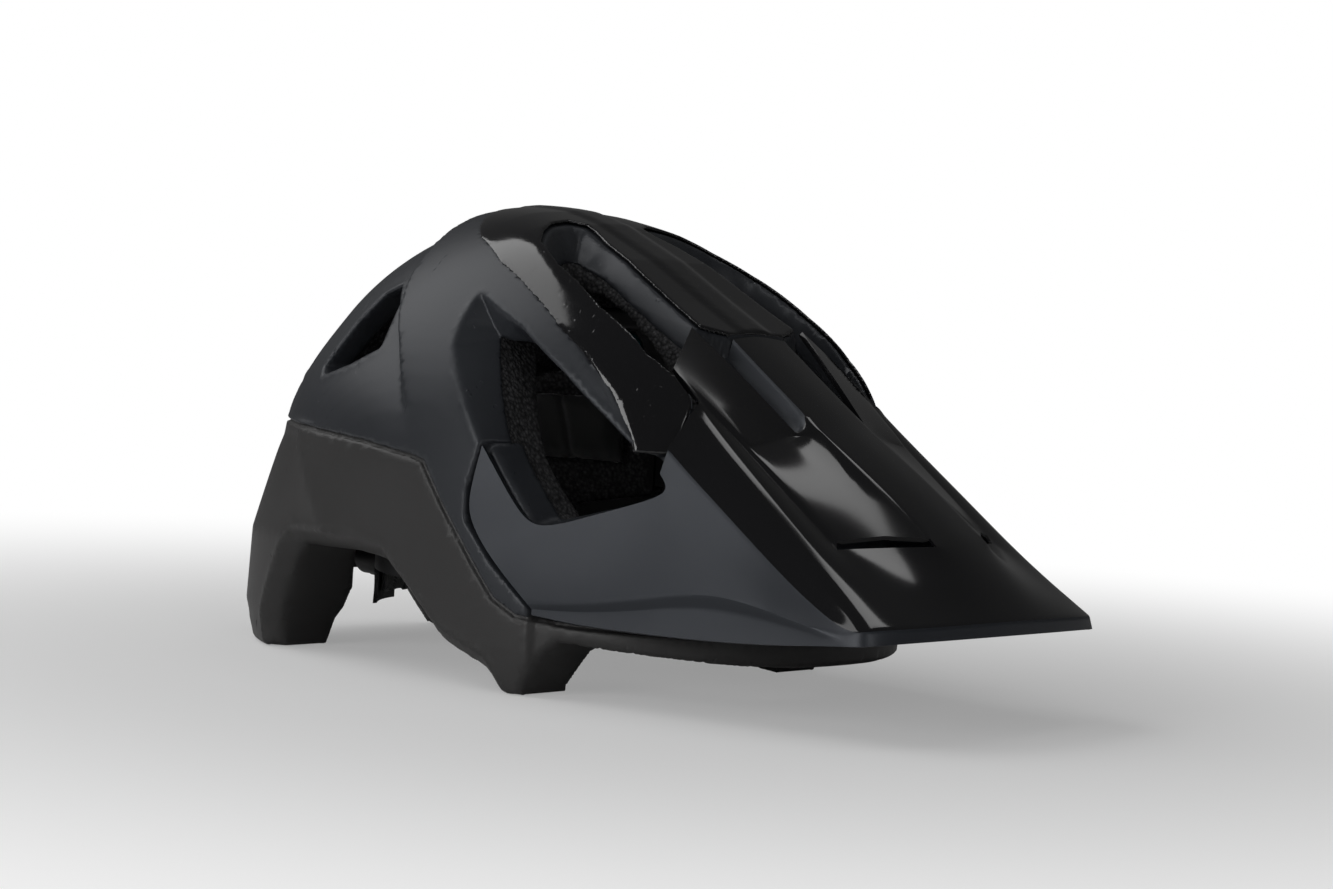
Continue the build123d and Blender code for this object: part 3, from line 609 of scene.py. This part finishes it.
dress(crown_ob, satin)
dress(cap_ob, gloss)
dress(lower_ob, matte)
dress(foam_ob, beads)
dress(visor_ob, gloss, slate)
NODE_MATERIALS = {
    "crown_satin": satin, "lower_matte": matte, "gloss_band": gloss, "visor_satin": slate, "foam": beads,
    "nylon": nylon, "knob_rubber": rubber, "steel": steel, "webbing": webbing, "pad": knit, "damper": damper}
SLOT_OF = {s["node"]: s["material_slot"] for s in frame["record"]["subparts"]}
for name, ob in frame["nodes"].items():
    dress(ob, NODE_MATERIALS[SLOT_OF[name]])

for piece, body, slot_name, nodes in (
        (crown_ob, "helmet", "crown_satin", ["crown_shell"]),
        (cap_ob, "helmet", "gloss_band", ["spine_band", "ridge_bands"]),
        (lower_ob, "helmet", "lower_matte", ["lower_shell"]),
        (foam_ob, "helmet", "foam", ["eps_liner"]),
        (visor_ob, "visor", "visor_satin", ["visor_shell"])):
    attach(piece, body)
    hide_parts(*nodes)


# ---------------------------------------------------------------- pads and webbing
def evaluated(ob):
    """The object's mesh with its modifiers applied."""
    dg = bpy.context.evaluated_depsgraph_get()
    return bpy.data.meshes.new_from_object(ob.evaluated_get(dg))


def coords(me):
    """The mesh's points, one row each."""
    out = np.empty(len(me.vertices) * 3, F32)
    me.vertices.foreach_get("co", out)
    return out.reshape(-1, 3)


def normals(me):
    """The mesh's point normals, one row each."""
    out = np.empty(len(me.vertices) * 3, F32)
    me.vertex_normals.foreach_get("vector", out)
    return out.reshape(-1, 3)


def put(me, co):
    """Moves the mesh's points to co."""
    me.vertices.foreach_set("co", co.astype(F32).ravel())
    me.update()


# pads, in metres
PAD_GRID = 0.0024            # grid of the even mesh
PAD_INSET = 0.0011           # how much smaller than the CAD pad it starts
PAD_SWELL = 0.0012           # how far pressure may move a point
SEAM_DEPTH, ROW_DEPTH, ROW_WIDTH = 0.0007, 0.0010, 0.0011
PAD_PRESSURE, LAST_FRAME = 4.0, 20


def swell(ob):
    """Fills the pad with cloth pressure, no point further than PAD_SWELL from where it was."""
    start = coords(ob.data)
    cloth = ob.modifiers.new("fill", "CLOTH")
    cloth.settings.use_pressure = True
    cloth.settings.uniform_pressure_force = PAD_PRESSURE
    cloth.settings.effector_weights.gravity = 0.0
    cloth.settings.quality = 4
    cloth.point_cache.frame_start, cloth.point_cache.frame_end = 1, LAST_FRAME
    scene = bpy.context.scene
    for f in range(1, LAST_FRAME + 1):
        scene.frame_set(f)
    me = evaluated(ob)
    moved = coords(me) - start
    far = np.linalg.norm(moved, axis=1, keepdims=True)
    moved = np.where(np.isfinite(moved), moved, 0) * np.minimum(1, PAD_SWELL / np.maximum(far, 1e-6))
    put(ob.data, start + moved)
    ob.modifiers.remove(cloth)
    scene.frame_set(1)


def facing(normal):
    """The direction that most of a pad's faces look along."""
    vectors = np.linalg.eigh(normal.T @ normal)[1]
    return vectors[:, -1]


def quilt(name, source, body, rows, long_axis):
    """A knitted pad in the place of a CAD pad: crowned faces, a sunk seam round its edge and sewn rows."""
    src = frame["nodes"][source]
    ob = linked(name, src.data.copy())
    remesh = ob.modifiers.new("even", "REMESH")
    remesh.mode, remesh.voxel_size = "VOXEL", PAD_GRID
    me = evaluated(ob)
    ob.modifiers.remove(remesh)
    ob.data = me
    put(me, coords(me) - normals(me) * PAD_INSET)
    swell(ob)
    sub = ob.modifiers.new("fine", "SUBSURF")
    sub.levels = sub.render_levels = 1
    me = evaluated(ob)
    ob.modifiers.remove(sub)
    ob.data = me
    co, normal = coords(me), normals(me)
    mid = (co.max(0) + co.min(0)) / 2
    size = co.max(0) - co.min(0)
    edge = np.exp(-(normal @ facing(normal)) ** 2 / 0.05)
    t = (co[:, long_axis] - mid[long_axis]) / size[long_axis] * (rows + 1)
    near = np.abs(t - np.round(t)) * size[long_axis] / (rows + 1)
    inner = np.abs(np.round(t)) < (rows + 1) / 2
    sunk = SEAM_DEPTH * edge + ROW_DEPTH * np.exp(-(near / ROW_WIDTH) ** 2) * inner
    put(me, co - normal * sunk[:, None])
    me.shade_smooth()
    dress(ob, knit)
    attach(ob, body)
    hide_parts(source)


for name, source, body, rows, axis in (
        ("brow_pad_cover", "brow_pad", "helmet", 3, 0),
        ("front_crown_pad_cover", "crown_pad_front", "helmet", 1, 1),
        ("rear_crown_pad_cover", "crown_pad_rear", "helmet", 1, 1),
        ("left_temple_pad_cover", "temple_pad_left", "helmet", 1, 1),
        ("right_temple_pad_cover", "temple_pad_right", "helmet", 1, 1),
        ("left_rear_pad_cover", "rear_pad_left", "helmet", 1, 1),
        ("right_rear_pad_cover", "rear_pad_right", "helmet", 1, 1),
        ("cradle_pad_cover", "cradle_pad", "cradle", 2, 0)):
    quilt(name, source, body, rows, axis)


# webbing: width and thickness in metres, then its cross-section as shares of them
WEB_WIDTH, WEB_THICK = 0.0148, 0.0015
ACROSS = (-0.5, -0.485, -0.44, -0.38, -0.3, -0.1, 0.1, 0.3, 0.38, 0.44, 0.485, 0.5)
LIFT = (0.0, 0.34, 0.52, 0.52, 0.44, 0.44, 0.44, 0.44, 0.52, 0.52, 0.34, 0.0)
TOP_HALF = list(zip(ACROSS, LIFT))
SECTION = TOP_HALF + [(u, -h) for u, h in TOP_HALF[-2:0:-1]]


def between(a, b, c, d, t):
    """A point t of the way from b to c, on a smooth curve that a and d also shape."""
    square, cube = 2 * a - 5 * b + 4 * c - d, 3 * b - a - 3 * c + d
    return 0.5 * (2 * b + (c - a) * t + square * t * t + cube * t ** 3)


def ring_at(bm, run, k, t):
    """The section's corners, t of the way from station k to the next."""
    last = len(run) - 1
    (b, w0, f0), (c, w1, f1) = run[k], run[k + 1]
    middle = between(run[max(k - 1, 0)][0], b, c, run[min(k + 2, last)][0], t)
    middle = (middle + np.array([0, STAND_Y, 0])) / 1000
    width, face = w0 * (1 - t) + w1 * t, f0 * (1 - t) + f1 * t
    width, face = width / np.linalg.norm(width), face / np.linalg.norm(face)
    return [bm.verts.new(middle + width * u * WEB_WIDTH + face * h * WEB_THICK) for u, h in SECTION]


def ribbon(name, source, runs):
    """Woven webbing along each run of stations (point, width direction, facing), rounded at its edges."""
    bm = bmesh.new()
    for stations in runs:
        run = [tuple(np.array(part, float) for part in station) for station in stations]
        rings = []
        for k in range(len(run) - 1):
            steps = max(2, int(np.linalg.norm(run[k + 1][0] - run[k][0]) / 2.0))
            for i in range(steps + (k == len(run) - 2)):
                rings.append(ring_at(bm, run, k, i / steps))
        for r0, r1 in zip(rings, rings[1:]):
            for i in range(len(r0)):
                j = (i + 1) % len(r0)
                bm.faces.new((r0[i], r0[j], r1[j], r1[i]))
        bm.faces.new(rings[0][::-1])
        bm.faces.new(rings[-1])
    bmesh.ops.recalc_face_normals(bm, faces=bm.faces)
    me = bpy.data.meshes.new(name)
    bm.to_mesh(me)
    bm.free()
    me.shade_smooth()
    ob = linked(name, me)
    dress(ob, webbing)
    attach(ob, "helmet")
    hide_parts(source)


def unit(v):
    """The direction of v, one long."""
    n = math.sqrt(sum(c * c for c in v))
    return tuple(c / n for c in v)


def against_head(path):
    """Stations along an (x, y, z) path that lies against the side of the head."""
    out = []
    for k, p in enumerate(path):
        a, b = path[max(k - 1, 0)], path[min(k + 1, len(path) - 1)]
        d = unit(tuple(b[i] - a[i] for i in range(3)))
        w = unit((0, d[2], -d[1]))
        facing_out = (w[1] * d[2] - w[2] * d[1], w[2] * d[0] - w[0] * d[2], w[0] * d[1] - w[1] * d[0])
        out.append((p, w, facing_out))
    return out


def across_head(path, y):
    """Stations along an (x, z) path over the head, at one y."""
    out = []
    for k, (x, z) in enumerate(path):
        a, b = path[max(k - 1, 0)], path[min(k + 1, len(path) - 1)]
        d = unit((b[0] - a[0], 0, b[1] - a[1]))
        out.append(((x, y, z), (0, 1, 0), (d[2], 0, -d[0])))
    return out


# the straps' ways on the wearer's left side: (x, y, z) by the ear, then (x, z) over the crown at TOP_Y
FRONT_LOW = [(71.5, -30, 26), (75.8, -12, 44), (75.0, 10, 58), (74.4, 22, 70), (74.6, 22, 92)]
FRONT_TOP = [(74.6, 92), (71.3, 104), (65.3, 121), (57, 137), (49, 146), (42, 150), (36, 151)]
REAR_LOW = [(65.4, 73, 57), (71.2, 52, 61), (76.4, 31, 65), (76.9, 23, 72), (76.8, 22, 88)]
TOP_Y, TOP_Z = 22, 151

for sign, side_name, end_x in ((-1, "right", 5.0), (1, "left", 27.0)):
    low_run = against_head([(sign * x, y, z) for x, y, z in FRONT_LOW])
    top_run = across_head([(sign * x, z) for x, z in FRONT_TOP + [(end_x, TOP_Z)]], TOP_Y)
    ribbon("front_chin_strap_" + side_name, "front_chin_web_" + side_name, [low_run, top_run])
    rear_run = against_head([(sign * x, y, z) for x, y, z in REAR_LOW])
    ribbon("rear_chin_strap_" + side_name, "rear_web_" + side_name, [rear_run])


# ---------------------------------------------------------------- camera, light, floor
# the photo's view: the camera's place in metres, then its azimuth, elevation and roll
EYE = Vector((-0.9990, -0.8739, 0.1651))
AZ, EL, ROLL = math.radians(310.8), math.radians(2.96), math.radians(3.34)
back = Vector((math.sin(AZ) * math.cos(EL), -math.cos(AZ) * math.cos(EL), math.sin(EL)))
right = (-back).cross(Vector((0, 0, 1))).normalized()
upward = right.cross(-back)
across = right * math.cos(ROLL) + upward * math.sin(ROLL)
up = -right * math.sin(ROLL) + upward * math.cos(ROLL)
cam = linked("camera", bpy.data.cameras.new("camera"))
cam.matrix_world = Matrix((
    (across.x, up.x, back.x, EYE.x),
    (across.y, up.y, back.y, EYE.y),
    (across.z, up.z, back.z, EYE.z),
    (0, 0, 0, 1)))
cam.data.sensor_width = 36.0
cam.data.lens = 84.30
cam.data.shift_x, cam.data.shift_y = 0.0020, 0.0050
cam.data.clip_end = 50
bpy.context.scene.camera = cam
bpy.context.scene.view_settings.view_transform = "Standard"


def panel(name, place, target, size, power):
    """A soft rectangular light that faces target."""
    light = bpy.data.lights.new(name, "AREA")
    light.shape, light.size, light.size_y = "RECTANGLE", size[0], size[1]
    light.energy = power
    ob = linked(name, light)
    ob.location = place
    ob.rotation_mode = "QUATERNION"
    ob.rotation_quaternion = (Vector(target) - Vector(place)).to_track_quat("-Z", "Y")


panel("high_rear", (-0.7, 1.45, 1.7), (0, 0, 0.12), (2.2, 1.8), 21)
panel("deck_glow", (0.60, -0.10, 1.75), (0, -0.10, 0.1), (0.36, 0.5), 1.0)
panel("left_side", (-2.0, 0.05, 0.5), (0, 0.02, 0.1), (0.8, 1.3), 12)
panel("front_fill", (-1.1, -2.3, 0.9), (0, -0.05, 0.1), (1.0, 0.8), 6)

# white behind the object, but only a dim glow on it
world = bpy.data.worlds.new("studio")
bpy.context.scene.world = world
world.use_nodes = True
sky_nodes = world.node_tree
sky = sky_nodes.nodes["Background"]
sky.inputs["Color"].default_value = (1, 1, 1, 1)
ray = node(sky_nodes, "ShaderNodeLightPath")
dim = node(sky_nodes, "ShaderNodeMapRange")
dim.inputs["To Min"].default_value, dim.inputs["To Max"].default_value = 0.07, 1.0
sky_nodes.links.new(ray.outputs["Is Camera Ray"], dim.inputs["Value"])
sky_nodes.links.new(dim.outputs["Result"], sky.inputs["Strength"])

# pale floor that fades to the white behind it with distance from the object
bpy.ops.mesh.primitive_plane_add(size=40)
floor = bpy.context.object
floor.name = "floor"
floor_look, floor_nodes, floor_shader = material("pale_floor", (0.86, 0.86, 0.86), 0.75)
place = node(floor_nodes, "ShaderNodeNewGeometry")
away = node(floor_nodes, "ShaderNodeVectorMath", operation="LENGTH")
floor_nodes.links.new(place.outputs["Position"], away.inputs[0])
fade = node(floor_nodes, "ShaderNodeMapRange", interpolation_type="SMOOTHSTEP")
fade.inputs["From Min"].default_value, fade.inputs["From Max"].default_value = 0.15, 0.8
fade.inputs["To Min"].default_value = 0.3
floor_nodes.links.new(away.outputs["Value"], fade.inputs["Value"])
floor_ray = node(floor_nodes, "ShaderNodeLightPath")
glow_share = node(floor_nodes, "ShaderNodeMath", operation="MULTIPLY")
floor_nodes.links.new(fade.outputs["Result"], glow_share.inputs[0])
floor_nodes.links.new(floor_ray.outputs["Is Camera Ray"], glow_share.inputs[1])
glow = node(floor_nodes, "ShaderNodeEmission", Strength=1.0)
blend = node(floor_nodes, "ShaderNodeMixShader")
floor_nodes.links.new(glow_share.outputs["Value"], blend.inputs[0])
floor_nodes.links.new(floor_shader.outputs[0], blend.inputs[1])
floor_nodes.links.new(glow.outputs[0], blend.inputs[2])
floor_nodes.links.new(blend.outputs[0], floor_nodes.nodes["Material Output"].inputs["Surface"])
dress(floor, floor_look)
